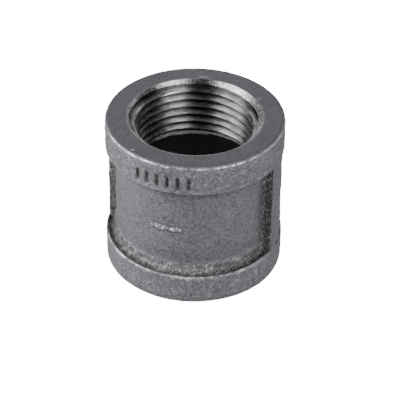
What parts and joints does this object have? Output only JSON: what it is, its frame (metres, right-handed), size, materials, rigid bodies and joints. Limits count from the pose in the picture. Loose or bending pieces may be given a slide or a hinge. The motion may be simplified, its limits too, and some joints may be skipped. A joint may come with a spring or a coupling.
{
  "type": "pipe coupling",
  "caption": "Straight banded pipe coupling with lengthwise ribs, countersunk machined ends and a tapered internal pipe thread running in from each end.",
  "frame": {"origin": "centre of the lower end face, on the pipe axis", "axes": "+Z along the pipe axis from the lower end face to the upper one; the two ribs lie on +X and -X"},
  "size_m": [0.0452, 0.0452, 0.0418],
  "materials": {
    "cast_iron": "as-cast dark grey oxide skin, with machined end faces and cut threads"
  },
  "bodies": {
    "root": {"coupling_casting": "cast_iron"}
  },
  "joints": []
}
